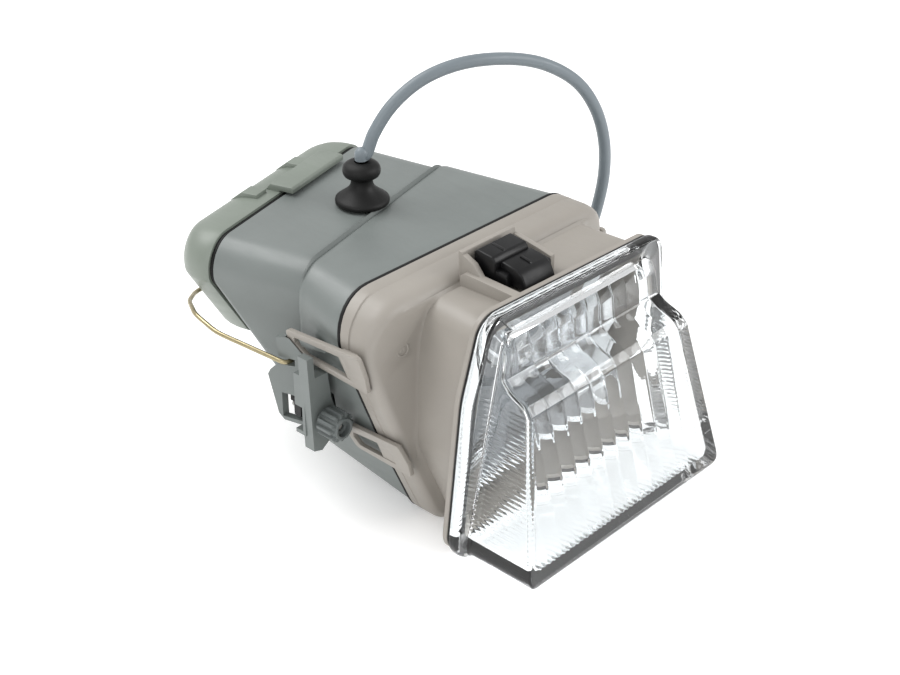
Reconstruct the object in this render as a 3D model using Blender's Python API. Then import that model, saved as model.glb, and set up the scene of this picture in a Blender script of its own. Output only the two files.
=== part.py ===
# Fog lamp with a raked glass lens, a two-part plastic body, a clipped-on rear cover and an aimable reflector.
# Drawing lengths are in drawing units of U metres: X to the right seen from the front, Y to the back, Z up.
import math

import bmesh
import bpy
from mathutils import Vector

U = 0.00086  # one drawing unit, in metres
ORIGIN = (0.91, 15.8, -66.0)  # the drawing point that becomes the part's origin: under the middle of the lamp
GAP = 0.35  # clearance between touching pieces
WALL = 3.0  # moulded wall
GLASS = 3.4  # lens wall
LEAN = 0.2126  # the joint plane between bezel and housing leans forward going down
TOP = 50.0  # height of the body's flat top
AXIS = math.radians(14.6)  # the beam axis is turned this far from the lens plane's normal
WIRE = 1.15  # bail wire radius
CABLE_R = 3.2  # cable radius
KNOB_X, KNOB_Z = -74.8, -15.0  # adjuster axis
TILT_Y, TILT_Z = 5.0, 30.0  # reflector tilt axis

for o in list(bpy.data.objects):
    bpy.data.objects.remove(o, do_unlink=True)

T = Vector((math.cos(AXIS), math.sin(AXIS), 0))  # across the rear of the body
N = Vector((-math.sin(AXIS), math.cos(AXIS), 0))  # towards the rear along the beam axis


def place(p):
    return Vector(((p[0] - ORIGIN[0]) * U, (p[1] - ORIGIN[1]) * U, (p[2] - ORIGIN[2]) * U))


def rear(xp, s, z):
    """A point of the turned rear part: xp across, s along the beam axis."""
    v = T * xp + N * s
    return (v.x, v.y, z)


def back(u, v, w):
    """On a cross-section of the turned rear part: u across, v up, w along the beam axis."""
    return rear(u, w, v)


def material(name, color, rough, metal=0.0, alpha=1.0, trans=0.0):
    m = bpy.data.materials.get(name)
    if m:
        return m
    m = bpy.data.materials.new(name)
    m.use_nodes = True
    b = m.node_tree.nodes["Principled BSDF"]
    b.inputs["Base Color"].default_value = (*color, 1)
    b.inputs["Roughness"].default_value = rough
    b.inputs["Metallic"].default_value = metal
    b.inputs["Alpha"].default_value = alpha
    b.inputs["Transmission Weight"].default_value = trans
    return m


GREY = ("grey_plastic", (0.27, 0.30, 0.30), 0.45)
SAGE = ("sage_plastic", (0.30, 0.34, 0.31), 0.45)
BEIGE = ("beige_plastic", (0.50, 0.47, 0.43), 0.5)
BLACK = ("black_plastic", (0.02, 0.02, 0.02), 0.4)
RUBBER = ("black_rubber", (0.015, 0.015, 0.015), 0.7)
STEEL = ("plated_steel", (0.55, 0.50, 0.34), 0.35, 1.0)
CHROME = ("chrome", (0.85, 0.86, 0.87), 0.08, 1.0)
CLEAR = ("lens_glass", (0.95, 0.97, 0.98), 0.03, 0.0, 1.0, 1.0)
CABLE = ("cable_sheath", (0.27, 0.31, 0.33), 0.5)


def solid(name, verts, faces, mat, origin=None):
    """An object from points in drawing units; its origin can sit on a joint's axis."""
    o0 = place(origin) if origin else Vector((0, 0, 0))
    me = bpy.data.meshes.new(name)
    bm = bmesh.new()
    vs = [bm.verts.new(place(v) - o0) for v in verts]
    for f in faces:
        bm.faces.new([vs[i] for i in f])
    bmesh.ops.recalc_face_normals(bm, faces=bm.faces)
    if bm.calc_volume(signed=True) < 0:
        bmesh.ops.reverse_faces(bm, faces=bm.faces)
    bm.to_mesh(me)
    bm.free()
    ob = bpy.data.objects.new(name, me)
    ob.location = o0
    bpy.context.scene.collection.objects.link(ob)
    if mat:
        me.materials.append(material(*mat))
    me.shade_smooth()
    me.set_sharp_from_angle(angle=math.radians(35))
    return ob


def outline(corners, radii, nc=3, ne=1):
    """A polygon with rounded corners; any two with as many corners give as many points."""
    n, pts = len(corners), []
    cs = [Vector(c) for c in corners]
    half = [(cs[i - 1] - cs[i]).angle(cs[(i + 1) % n] - cs[i]) / 2 for i in range(n)]
    d = [max(radii[i], 0.05) / math.tan(half[i]) for i in range(n)]
    for i in range(n):
        j = (i + 1) % n
        k = (d[i] + d[j]) / ((cs[j] - cs[i]).length * 0.96)
        if k > 1:
            d[i], d[j] = d[i] / k, d[j] / k
    arcs = []
    for i in range(n):
        c = cs[i]
        a, b = (cs[i - 1] - c).normalized(), (cs[(i + 1) % n] - c).normalized()
        r = d[i] * math.tan(half[i])
        centre = c + (a + b).normalized() * (r / math.sin(half[i]))
        s, e = c + a * d[i] - centre, c + b * d[i] - centre
        turn = -s.angle_signed(e)
        arcs.append([])
        for k in range(nc + 1):
            t = turn * k / nc
            arcs[-1].append(centre + Vector((s.x * math.cos(t) - s.y * math.sin(t), s.x * math.sin(t) + s.y * math.cos(t))))
    for i in range(n):
        pts += arcs[i]
        a, b = arcs[i][-1], arcs[(i + 1) % n][0]
        pts += [a.lerp(b, k / ne) for k in range(1, ne)]
    return pts


def band(n, m, i, j):
    """Faces between ring i and ring j of n-point rings."""
    return [(i * n + k, i * n + (k + 1) % n, j * n + (k + 1) % n, j * n + k) for k in range(n)]


def tube(name, rings, mat, closed=False, caps=True, origin=None):
    """Rings joined in order: closed back on the first, or capped at both ends."""
    n, m = len(rings[0]), len(rings)
    verts = [p for r in rings for p in r]
    faces = []
    for i in range(m - 1):
        faces += band(n, m, i, i + 1)
    if closed:
        faces += band(n, m, m - 1, 0)
    elif caps:
        faces += [tuple(range(n)), tuple((m - 1) * n + k for k in range(n))]
    return solid(name, verts, faces, mat, origin)


def extruded(name, pts, lo, hi, mat, at, origin=None):
    """A flat outline pushed from lo to hi; at(u, v, w) gives the place."""
    return tube(name, [[at(u, v, lo) for u, v in pts], [at(u, v, hi) for u, v in pts]], mat, origin=origin)


def framed(name, outer, inner, lo, hi, mat, at):
    """A flat outline with a window, pushed from lo to hi."""
    rings = [[at(u, v, w) for u, v in pts] for pts, w in ((outer, lo), (outer, hi), (inner, hi), (inner, lo))]
    return tube(name, rings, mat, closed=True)


def box(name, lo, hi, mat, at=lambda x, y, z: (x, y, z)):
    pts = [(lo[0], lo[1]), (hi[0], lo[1]), (hi[0], hi[1]), (lo[0], hi[1])]
    return tube(name, [[at(x, y, lo[2]) for x, y in pts], [at(x, y, hi[2]) for x, y in pts]], mat)


def ring_at(centre, r, n, a, b, turn=0.0):
    """A circle in the plane of the unit vectors a and b."""
    c = Vector(centre)
    return [tuple(c + a * (r * math.cos(2 * math.pi * k / n + turn)) + b * (r * math.sin(2 * math.pi * k / n + turn))) for k in range(n)]


X, Y, Z = Vector((1, 0, 0)), Vector((0, 1, 0)), Vector((0, 0, 1))


def turned(name, centre, axis, a, b, profile, n, mat, closed=False, origin=None):
    """A turned piece: profile is (distance along the axis, radius)."""
    c = Vector(centre)
    rings = [ring_at(c + axis * h, r, n, a, b) for h, r in profile]
    return tube(name, rings, mat, closed=closed, origin=origin)


def cut(target, cutter, op="DIFFERENCE"):
    m = target.modifiers.new(cutter.name, "BOOLEAN")
    m.operation, m.object, m.solver = op, cutter, "EXACT"
    cutter.hide_render = True
    cutter.display_type = "WIRE"


def join(target, *others):
    for o in others:
        cut(target, o, "UNION")


def faceted(ob):
    """Split the twisted four-sided faces, so that a cut meets flat ones."""
    bm = bmesh.new()
    bm.from_mesh(ob.data)
    bmesh.ops.triangulate(bm, faces=bm.faces)
    bm.to_mesh(ob.data)
    bm.free()
    return ob


# ---- outlines, corners in the order top left, top right, right side, bottom right, bottom left, left side ----
def six(tl, tr, r, br, bl, l, radii, nc=3, ne=1):
    return outline([tl, tr, r, br, bl, l], radii, nc, ne)


def inset(c, d):
    """A polygon with each side moved inwards by d (corners run clockwise)."""
    n, out = len(c), []
    cs = [Vector(p) for p in c]
    for i in range(n):
        u, v = (cs[i] - cs[i - 1]).normalized(), (cs[(i + 1) % n] - cs[i]).normalized()
        nu, nv = Vector((u.y, -u.x)), Vector((v.y, -v.x))
        k = d / (1 + nu.dot(nv))
        out.append(tuple(cs[i] + (nu + nv) * k))
    return out


def shrunk(c, f, d=0.0, centre=(13, 25)):
    """A polygon scaled by f about a centre, and then d smaller each way."""
    w = max(abs(p[0] - centre[0]) for p in c)
    h = max(abs(p[1] - centre[1]) for p in c)
    return [(centre[0] + (x - centre[0]) * (f - d / w), centre[1] + (z - centre[1]) * (f - d / h)) for x, z in c]


JOINT = [(-82, TOP + 0.5), (93, TOP + 0.5), (76.5, -30), (69, -66), (-48.5, -66), (-60.5, -30)]
JOINT_R = [22, 17, 12, 13, 13, 12]
REAR = [(-56.5, TOP + 2), (83, TOP + 2), (83, 33), (53, -10), (-27, -10), (-56.5, 33)]
REAR_R = [16, 16, 9, 10, 10, 9]
MID = [(-55.5, TOP + 1), (82.5, TOP + 1), (82.5, -22), (68, -45), (-42, -45), (-55.5, -22)]
MID_R = [16, 16, 10, 10, 10, 10]
COLLAR = [(-60.5, TOP + 1), (88.0, TOP + 1), (88.0, -24), (72, -49), (-46, -49), (-57, -12)]
COLLAR_R = [17, 17, 10, 12, 12, 10]


def r_in(radii, d):
    return [max(r - d, 1.5) for r in radii]


def between(a, b, k):
    """k rings evenly between two rings, with the first."""
    return [[tuple(Vector(p).lerp(Vector(q), i / k)) for p, q in zip(a, b)] for i in range(k)]


def lean(u, v, w):
    """On the joint plane, w behind it."""
    return (u, LEAN * (v - TOP) + w, v)


def ring(corners, radii, at, w, nc=3, ne=1):
    return [at(p.x, p.y, w) for p in outline(corners, radii, nc, ne)]


# ---- lens: a deep glass cup with a sloping front face and a flat flange ----
def lens_left(z):
    return -36.5 - 0.219 * (43 - z)


def lens_right(z):
    return 67.5 + 0.155 * (40 - z)


def lens_block(name, profile, d, mat, bevel):
    rings = [[(lens_left(z) + d, y, z) for y, z in profile], [(lens_right(z) - d, y, z) for y, z in profile]]
    o = tube(name, rings, mat)
    if bevel:
        bm = bmesh.new()
        bm.from_mesh(o.data)
        front = place((0, -66.2, 0)).y
        es = [e for e in bm.edges if min(v.co.y for v in e.verts) < front and e.calc_face_angle(0) > 0.5]
        bmesh.ops.bevel(bm, geom=es, offset=bevel * U, segments=2, affect="EDGES", clamp_overlap=True)
        bm.to_mesh(o.data)
        bm.free()
    return o


FLANGE = [(-45, 53.5), (77, 50.5), (85.5, -8), (95, -66), (-67, -66), (-57.5, 15)]
FLANGE_R = [13, 9, 60, 9, 11, 60]
OUTER = [(-63, 44), (-66.5, 43.5), (-70, 35), (-71, 24), (-76, 20), (-84, 17), (-88, 12.5), (-104.6, -62), (-103.5, -65.6), (-63, -65.6)]
INNER = [(-55, 40), (-65.5, 40), (-66.8, 33), (-67.6, 21.5), (-73.5, 16.4), (-81.5, 13.6), (-84.6, 10), (-100.6, -60), (-99.8, -62), (-55, -62)]
lens = tube("lens", [ring(FLANGE, FLANGE_R, lambda u, v, w: (u, w, v), w, 4, 2) for w in (-66, -60.3)], CLEAR)
join(lens, lens_block("lens_cup", OUTER, 0.0, CLEAR, 1.2))
cut(lens, lens_block("lens_hollow", INNER, GLASS, None, 0))


# ---- front bezel: rim, neck and the plate that carries the lens ----
def flat(u, v, w):
    return (u, w, v)


NECK_B = [(-39, 45.5), (72, 45.5), (70, -28), (63, -59), (-43, -59), (-55.5, -20)]
NECK_BR = [11, 8, 12, 10, 10, 14]
NECK_F = [(-43, 46.5), (70.5, 46.5), (80, -8), (88.5, -60), (-58, -60), (-56, -18)]
NECK_FR = [10, 8, 20, 9, 12, 20]
PLATE = inset(FLANGE, 1.0)


def deep(u, v, w):
    """As lean, but the rim is half as deep again along the top."""
    k = min(max((v - 15) / 30, 0), 1)
    return (u, LEAN * (v - TOP) + w * (1 + 0.42 * k * k), v)


bez = [
    ring(JOINT, JOINT_R, lean, 0, 4, 2),
    ring(JOINT, JOINT_R, deep, -11, 4, 2),
    ring(inset(JOINT, 1.3), r_in(JOINT_R, 1.0), deep, -14, 4, 2),
    ring(inset(JOINT, 4.4), r_in(JOINT_R, 3.5), deep, -15.5, 4, 2),
    ring(NECK_B, NECK_BR, deep, -17.0, 4, 2),
    ring(NECK_F, NECK_FR, flat, -55, 4, 2),
    ring(PLATE, FLANGE_R, flat, -55.6, 4, 2),
    ring(PLATE, FLANGE_R, flat, -58.6, 4, 2),
    ring(inset(NECK_F, 4.2), r_in(NECK_FR, 3), flat, -58.6, 4, 2),
    ring(inset(NECK_F, WALL), r_in(NECK_FR, 2), flat, -54, 4, 2),
    ring(inset(NECK_B, WALL), r_in(NECK_BR, 2), deep, -14.4, 4, 2),
    ring(inset(JOINT, 6.0), r_in(JOINT_R, 5), deep, -12.6, 4, 2),
    ring(inset(JOINT, 3.2), r_in(JOINT_R, 3), deep, -10, 4, 2),
    ring(inset(JOINT, 3.0), r_in(JOINT_R, 3), lean, 0, 4, 2),
]
front_bezel = faceted(tube("front_bezel", bez, BEIGE, closed=True))


def side_left(z):
    return -78.3 + (38 - z) * 0.268


def side_right(z):
    return 90.9 - (38 - z) * 0.205


def ear(tag, side, sign, outer, inner, pad):
    at = lambda u, v, w: (side(v) + sign * w, u, v)  # u is Y, v is Z, w outwards
    a = framed("ear_" + tag, outer, inner, 1.2, 3.9, BEIGE, at)
    b = extruded("ear_pad_" + tag, pad, -1.6, 3.6, BEIGE, at)
    join(front_bezel, b, a)


EAR1 = ([(28.5, 27), (29.5, 19), (21.5, 12.5), (-20, 10), (-21, 20), (-20, 31.5)], [(24, 24), (24.6, 20.5), (18, 15.5), (-10.5, 14.5), (-11.0, 19.5), (-9.5, 26.5)], [(-5.0, 29), (-8.5, 12.5), (-18, 11.5), (-16, 29.5)])
EAR2 = ([(3.6, -18.5), (4.6, -25), (0.5, -32.5), (-35, -33.5), (-35, -25), (-31, -16)], [(0.2, -22.8), (0.6, -25.8), (-2.5, -29.6), (-26.5, -29.4), (-25.5, -25), (-21.5, -20.6)], [(-15.1, -18.5), (-17.9, -31.5), (-32, -31.5), (-28, -18)])
for tag, e in (("left_upper", EAR1), ("left_lower", EAR2)):
    ear(tag, side_left, -1, *e)
for tag, e in (("right_upper", EAR1), ("right_lower", EAR2)):
    ear(tag, side_right, 1, *e)

# holder for the mounting clip on top of the neck
join(
    front_bezel,
    extruded("holder_near", [(-24, 43.5), (-57, 43.5), (-57, 52), (-27, 52.5), (-24, 50)], -19.5, -14.5, BEIGE, lambda u, v, w: (w, u, v)),
    extruded("holder_far", [(-24, 43.5), (-47, 43.5), (-47, 50.8), (-24, 51.5)], 17.0, 21.0, BEIGE, lambda u, v, w: (w, u, v)),
    extruded("holder_back", [(-25.5, 43.3), (-25.5, 51), (-23.5, 61), (-21.0, 61), (-21.5, 43.3)], -17, 19, BEIGE, lambda u, v, w: (w, u, v)),
)

# ---- lens seal and body gasket ----
lens_seal = framed("lens_seal", outline(inset(FLANGE, 1.6), FLANGE_R, 4, 2), outline(inset(FLANGE, 5.4), r_in(FLANGE_R, 4), 4, 2), -59.95, -58.95, RUBBER, flat)
housing_gasket = framed("housing_gasket", outline(JOINT, JOINT_R, 4, 1), outline(inset(JOINT, 3.2), r_in(JOINT_R, 3), 4, 1), GAP, 2.4, RUBBER, lean)


# ---- housing: collar at the front, turned rear part, underside rising to the rear ----
hin = inset(JOINT, 0.9)
front_out, front_in = ring(hin, r_in(JOINT_R, 0.8), lean, 2.75, 4, 3), ring(inset(hin, WALL), r_in(JOINT_R, 3.5), lean, 2.75, 4, 3)
collar_out, collar_in = ring(COLLAR, COLLAR_R, back, 45.0, 4, 3), ring(inset(COLLAR, 3.4), r_in(COLLAR_R, 3), back, 43.5, 4, 3)
mid_out, mid_in = ring(MID, MID_R, back, 48.2, 4, 3), ring(inset(MID, WALL), r_in(MID_R, 2.5), back, 47.0, 4, 3)
rear_out, rear_in = ring(REAR, REAR_R, back, 96, 4, 3), ring(inset(REAR, WALL), r_in(REAR_R, 2.5), back, 96, 4, 3)
hs = [
    *between(front_out, collar_out, 3),
    collar_out,
    ring(inset(COLLAR, 0.8), COLLAR_R, back, 46.6, 4, 3),
    *between(mid_out, rear_out, 2),
    rear_out,
    *between(rear_in, mid_in, 2),
    mid_in,
    *between(collar_in, front_in, 3),
    front_in,
]
housing = faceted(tube("housing", hs, GREY, closed=True))
GX, GY = 1.5, 60.0  # grommet axis
cut(housing, turned("grommet_hole", (GX, GY, 40), Z, X, Y, [(0, 8.2), (20, 8.2)], 20, None))
cut(housing, box("arm_slot", (-76, 12.5, -15.2), (-50, 31.5, -7.4), None))


def latch(tag, side, sign, y0, y1, z0, z1, root=-3.2):
    at = lambda u, v, w: (side(v) + sign * w, u, v)
    pts = [(y0, z0), (y1, z0), (y1, z1), (y0, z1)]
    lo, hi = [at(u, v, root) for u, v in pts], [at(u, v, 2.6 if u == y1 else -0.4) for u, v in pts]
    return tube("latch_" + tag, [lo, hi], GREY)


# an under-side lug carries the rear of the lamp
lug = extruded("lower_lug", [(30, -52.5), (30, -66), (52, -66), (52, -48)], 14, 34, GREY, lambda u, v, w: (w, u, v))
lug_hole = turned("lug_hole", (10, 41, -58.5), X, Y, Z, [(0, 3.6), (30, 3.6)], 14, None)
cut(lug, lug_hole)
join(housing, lug, latch("lu", side_left, -1, 9, 22.0, 19.0, 23.4), latch("ru", side_right, 1, 9, 22.0, 19.0, 23.4, -8.0))
PX, PXR, PS, PZ = -71.7, 97.1, 46.0, 10.0  # bail arms and the bail's axis
boss = turned("bail_boss", rear(81.2, PS, PZ), T, N, Z, [(0, 4.6), (10.8, 4.6)], 16, GREY)
bore = turned("bail_bore", rear(84.5, PS, PZ), T, N, Z, [(0, WIRE + GAP), (12, WIRE + GAP)], 12, None)
join(housing, boss)
cut(housing, bore)

# ---- rear cover, hooked over the housing's top edge ----
C0 = inset(REAR, -0.9)


def dome(f, s, d=0.0):
    return ring(shrunk(C0, f, d), [r * f for r in REAR_R], back, s, 4, 2)


cov = [dome(1, 98.0), dome(1, 104), dome(0.985, 110), dome(0.93, 116), dome(0.85, 119.5), dome(0.76, 120.5)]
cin = [dome(0.74, 117.6, 3), dome(0.83, 116.6, 3), dome(0.90, 114, 3.2), dome(0.96, 109, 3.2), dome(1, 103, 3.2), dome(1, 98.0, 3.2)]
HOOK_S, HOOK_Z = 90.6, TOP + 3.4  # the cover turns on the hook's front edge
n = len(cov[0])
rings = cov[::-1] + cin[::-1]
rear_cover = faceted(tube("rear_cover", rings, SAGE, origin=rear(12.7, HOOK_S, HOOK_Z)))
hook = extruded("hook", [(90.4, 53.4), (90.4, 55.6), (91.4, 56.6), (104, 56.2), (108, 51), (99, 50.4), (98.6, 53.4)], 5, 52, SAGE, lambda u, v, w: rear(w, u, v))
ribs = [extruded("rib_%d" % k, [(104, 49), (104, 54.8), (113, 54.4), (119.6, 49), (120.6, 40), (118, 39)], x, x + 9, SAGE, lambda u, v, w: rear(w, u, v)) for k, x in enumerate((-7, 33))]
join(rear_cover, hook, *ribs)
rear_cover_seal = framed("rear_cover_seal", outline(inset(REAR, 0.4), REAR_R, 4, 1), outline(inset(REAR, 3.0), r_in(REAR_R, 2.5), 4, 1), 96.35, 97.65, RUBBER, back)


# ---- bail wire ----
def smooth_path(pts, per):
    """A centripetal Catmull-Rom curve through the points."""
    ps = [Vector(p) for p in pts]
    ps = [ps[0] * 2 - ps[1]] + ps + [ps[-1] * 2 - ps[-2]]
    out = []
    for i in range(1, len(ps) - 2):
        p0, p1, p2, p3 = ps[i - 1 : i + 3]
        t0 = 0.0
        t1 = t0 + (p1 - p0).length ** 0.5
        t2 = t1 + (p2 - p1).length ** 0.5
        t3 = t2 + (p3 - p2).length ** 0.5
        for k in range(per):
            t = t1 + (t2 - t1) * k / per
            a1 = p0 * ((t1 - t) / (t1 - t0)) + p1 * ((t - t0) / (t1 - t0))
            a2 = p1 * ((t2 - t) / (t2 - t1)) + p2 * ((t - t1) / (t2 - t1))
            a3 = p2 * ((t3 - t) / (t3 - t2)) + p3 * ((t - t2) / (t3 - t2))
            b1 = a1 * ((t2 - t) / (t2 - t0)) + a2 * ((t - t0) / (t2 - t0))
            b2 = a2 * ((t3 - t) / (t3 - t1)) + a3 * ((t - t1) / (t3 - t1))
            out.append(b1 * ((t2 - t) / (t2 - t1)) + b2 * ((t - t1) / (t2 - t1)))
    out.append(ps[-2])
    return out


def wire(name, pts, r, mat, sides=2, origin=None):
    """A round wire or cable through points given in drawing units."""
    o0 = place(origin) if origin else Vector((0, 0, 0))
    cu = bpy.data.curves.new(name, "CURVE")
    cu.dimensions = "3D"
    cu.bevel_depth = r * U
    cu.bevel_resolution = sides
    cu.use_fill_caps = True
    sp = cu.splines.new("POLY")
    sp.points.add(len(pts) - 1)
    for q, p in zip(sp.points, pts):
        v = place(p) - o0
        q.co = (v.x, v.y, v.z, 1)
    ob = bpy.data.objects.new(name, cu)
    ob.location = o0
    cu.materials.append(material(*mat))
    bpy.context.scene.collection.objects.link(ob)
    return ob


def rounded(pts, r, k=4):
    """A route with its corners rounded."""
    ps = [Vector(p) for p in pts]
    out = [ps[0]]
    for a, b, c in zip(ps, ps[1:], ps[2:]):
        u, v = (a - b), (c - b)
        d = min(r, u.length * 0.48, v.length * 0.48)
        p, q = b + u.normalized() * d, b + v.normalized() * d
        for i in range(k + 1):
            t = i / k
            out.append(p * (1 - t) ** 2 + b * 2 * t * (1 - t) + q * t * t)
    out.append(ps[-1])
    return out


half = [(-63.5, PS, PZ), (PX, PS, PZ), (PX, 85, 16), (-66, 101, 18.5), (-52, 115, 15), (-36, 123.8, 9.5), (-12, 125.4, 6.5)]
bail_pts = [rear(*p) for p in half] + [rear(12.7, 125.6, 6.0)] + [rear(*p) for p in [(25.4 - a, s, z) for a, s, z in half[::-1][:-2]]] + [rear(PXR, PS, PZ), rear(86.0, PS, PZ)]
bail_wire = wire("bail_wire", rounded(bail_pts, 4.5, 3), WIRE, STEEL, 1, rear(12.7, PS, PZ))

# ---- adjuster: bracket, screw, knob, retainer and nut ----
A_OUT = [(36, 10.0), (33, -8), (33, -23), (50.5, -23), (53.5, -20), (58.5, 0), (57, 3), (52, 7.2), (43, 8.3), (43, 11.7), (52, 11.7), (53, 21), (48, 22.5), (38, 22)]
bracket = extruded("adjuster_bracket", A_OUT, -69.6, -66.0, GREY, lambda u, v, w: rear(w, u, v))
B_OUT = [(-84, 20), (-80.2, 20), (-79.6, 8.8), (-71.9, 8.8), (-70.2, -5), (-68, -12), (-67.8, -22), (-72, -28), (-77, -31.5), (-82, -30)]
plate_b = extruded("plate_b", B_OUT, 9.2, 15.4, GREY, lambda u, v, w: (u, w, v))
rib_b = extruded("rib_b", [(13.5, -23), (20.0, -23), (20.0, 9), (13.5, 9)], -83.0, -79.0, GREY, lambda u, v, w: (w, u, v))
foot = extruded("bracket_foot", [(52, -12), (57, -12), (57, 0), (52, 0)], -66.5, -56.2, GREY, lambda u, v, w: rear(w, u, v))
join(bracket, plate_b, rib_b, foot)
cut(bracket, extruded("a_window", [(31.0, -9.5), (31.0, -20.5), (48.5, -20.5), (45.5, -8.5)], -76, -60, None, lambda u, v, w: rear(w, u, v)))
cut(bracket, extruded("b_window", [(15.2, -8.0), (15.2, -21.0), (32, -21.0), (32, -8.0)], -90, -70, None, lambda u, v, w: (w, u, v)))
cut(bracket, extruded("ear_clearance", inset(EAR1[0], -0.45), -4.0, 4.7, None, lambda u, v, w: (side_left(v) - w, u, v)))
cut(bracket, turned("screw_hole", (KNOB_X, 5, KNOB_Z), Y, X, Z, [(0, 1.95), (12, 1.95)], 14, None))
KC = (KNOB_X, 0, KNOB_Z)
adjuster_screw = turned("adjuster_screw", KC, Y, X, Z, [(-1.0, 1.2), (-0.6, 1.6), (29.6, 1.6), (30.2, 1.0)], 12, STEEL, origin=(KNOB_X, 0, KNOB_Z))
TEETH = 12
prof = []
for k in range(TEETH):
    for da, r in ((-0.30, 5.9), (-0.20, 7.5), (0.20, 7.5), (0.30, 5.9)):
        t = 2 * math.pi * (k + da) / TEETH
        prof.append((r * math.cos(t), r * math.sin(t)))
nk = len(prof)


def knob_ring(y, kind):
    if kind == "teeth":
        return [(KNOB_X + a, y, KNOB_Z + b) for a, b in prof]
    return [(KNOB_X + kind * a / math.hypot(a, b), y, KNOB_Z + kind * b / math.hypot(a, b)) for a, b in prof]


knob_rings = [knob_ring(8.7, 1.95), knob_ring(8.7, 5.6), knob_ring(7.4, 5.6), knob_ring(7.0, "teeth"), knob_ring(-2.6, "teeth"), knob_ring(-2.9, 5.4), knob_ring(-4.2, 5.2), knob_ring(-4.2, 3.9), knob_ring(-1.6, 3.9), knob_ring(-1.6, 1.95)]
adjuster_knob = tube("adjuster_knob", knob_rings, GREY, closed=True, origin=(KNOB_X, 0, KNOB_Z))
adjuster_retainer = turned("adjuster_retainer", (KNOB_X, 15.75, KNOB_Z), Y, X, Z, [(0, 1.95), (0, 3.6), (1.2, 3.6), (1.2, 1.95)], 16, STEEL, closed=True, origin=(KNOB_X, 0, KNOB_Z))
NY = 24.2
nut = box("adjuster_nut", (-78.0, -18.6, NY - 2.2), (-71.8, -9.6, NY + 2.2), BLACK, lambda x, z, y: (x, y, z))
cut(nut, turned("nut_hole", (KNOB_X, NY - 6, KNOB_Z), Y, X, Z, [(0, 1.95), (12, 1.95)], 12, None))

# ---- reflector and lamp, which tilt together ----
RC = rear(15.5, 27.0, -3.0)  # centre of the reflector's neck


def refl_ring(corners, radii, f, y, d=0.0):
    """Between the reflector's mouth (f = 1) and its round neck (f = 0)."""
    mouth = outline(inset(corners, d), r_in(radii, d), 4, 2)
    n = len(mouth)
    out = []
    for p in mouth:
        a = math.atan2(p.y - RC[2], p.x - 18)
        r = 13.0 - d
        q = (RC[0] + r * math.cos(a), RC[2] + r * math.sin(a))
        out.append((q[0] + (p.x - q[0]) * f, y, q[1] + (p.y - q[1]) * f))
    return out


MOUTH = [(-31, 35), (60, 35), (65, -10), (65, -44), (-42, -44), (-40, -10)]
MOUTH_R = [7, 7, 30, 8, 8, 30]
steps = [(1.0, -46.0), (0.93, -40.0), (0.80, -27.0), (0.62, -10.0), (0.42, 6.0), (0.2, 19.0), (0.0, 27.0)]
outer = [refl_ring(MOUTH, MOUTH_R, f, y + 1.6, 0.0) for f, y in steps]
inner = [refl_ring(MOUTH, MOUTH_R, f, y, 1.7) for f, y in steps]
lip = [refl_ring([(a - 1.6 if a < 18 else a + 1.6, b + (1.6 if b > 0 else -1.6)) for a, b in MOUTH], MOUTH_R, 1.0, -46.4)]
reflector = tube("reflector", outer[::-1] + lip + inner, CHROME, closed=True, origin=(18, TILT_Y, TILT_Z))
neck_hole = Vector(RC)


def axial(h):
    return tuple(Vector(RC) + Y * h)


bulb_holder = turned("bulb_holder", axial(2.2), Y, X, Z, [(0, 9.0), (0, 15.5), (2.2, 15.5), (2.2, 13.2), (6.5, 12.6), (6.5, 9.0)], 24, STEEL, closed=True)
bulb_base = turned("bulb_base", axial(0), Y, X, Z, [(-4, 5.6), (-2, 6.2), (1.4, 8.2), (9.1, 8.2), (9.1, 10.8), (10.6, 10.8), (10.6, 6.0), (16, 5.2), (17, 4.4)], 20, STEEL)
bulb_glass = turned("bulb_glass", axial(0), Y, X, Z, [(-4.4, 4.6), (-13, 4.7), (-20, 4.6), (-24, 3.8), (-26.5, 1.8), (-27.0, 0.6)], 16, CLEAR)
shield = turned("bulb_shield", axial(0), Y, X, Z, [(-27.5, 9.6), (-37.0, 8.8), (-42.0, 5.6), (-43.0, 1.2), (-41.6, 1.0), (-40.6, 4.8), (-36.2, 7.8), (-27.5, 8.5)], 18, CHROME, closed=True)
stalk = box("shield_stalk", (RC[0] - 1.6, RC[2] - 9.9, RC[1] - 30), (RC[0] + 1.6, RC[2] - 8.6, RC[1] + 1.5), CHROME, lambda x, z, y: (x, y, z))
stalk2 = box("shield_foot", (RC[0] - 1.6, RC[2] - 9.9, RC[1] - 31.5), (RC[0] + 1.6, RC[2] - 8.6, RC[1] - 28.5), CHROME, lambda x, z, y: (x, y, z))
join(shield, stalk, stalk2)
pin_l = turned("pivot_pin_left", (-36.0, TILT_Y, TILT_Z), -X, Y, Z, [(0, 2.6), (14, 2.6), (15.5, 1.6)], 12, STEEL)
pin_r = turned("pivot_pin_right", (64.0, TILT_Y, TILT_Z), X, Y, Z, [(0, 2.6), (10, 2.6), (11.5, 1.6)], 12, STEEL)
arm = [(-77.6, NY - 4.9), (-77.6, NY - 2.75), (-71.0, NY - 2.75), (-71.0, NY + 2.75), (-77.6, NY + 2.75), (-77.6, NY + 4.9), (-22, NY + 4.9), (-22, NY - 4.9)]
reflector_arm = extruded("reflector_arm", arm, -12.1, -9.4, BLACK, lambda u, v, w: (u, v, w))
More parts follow.
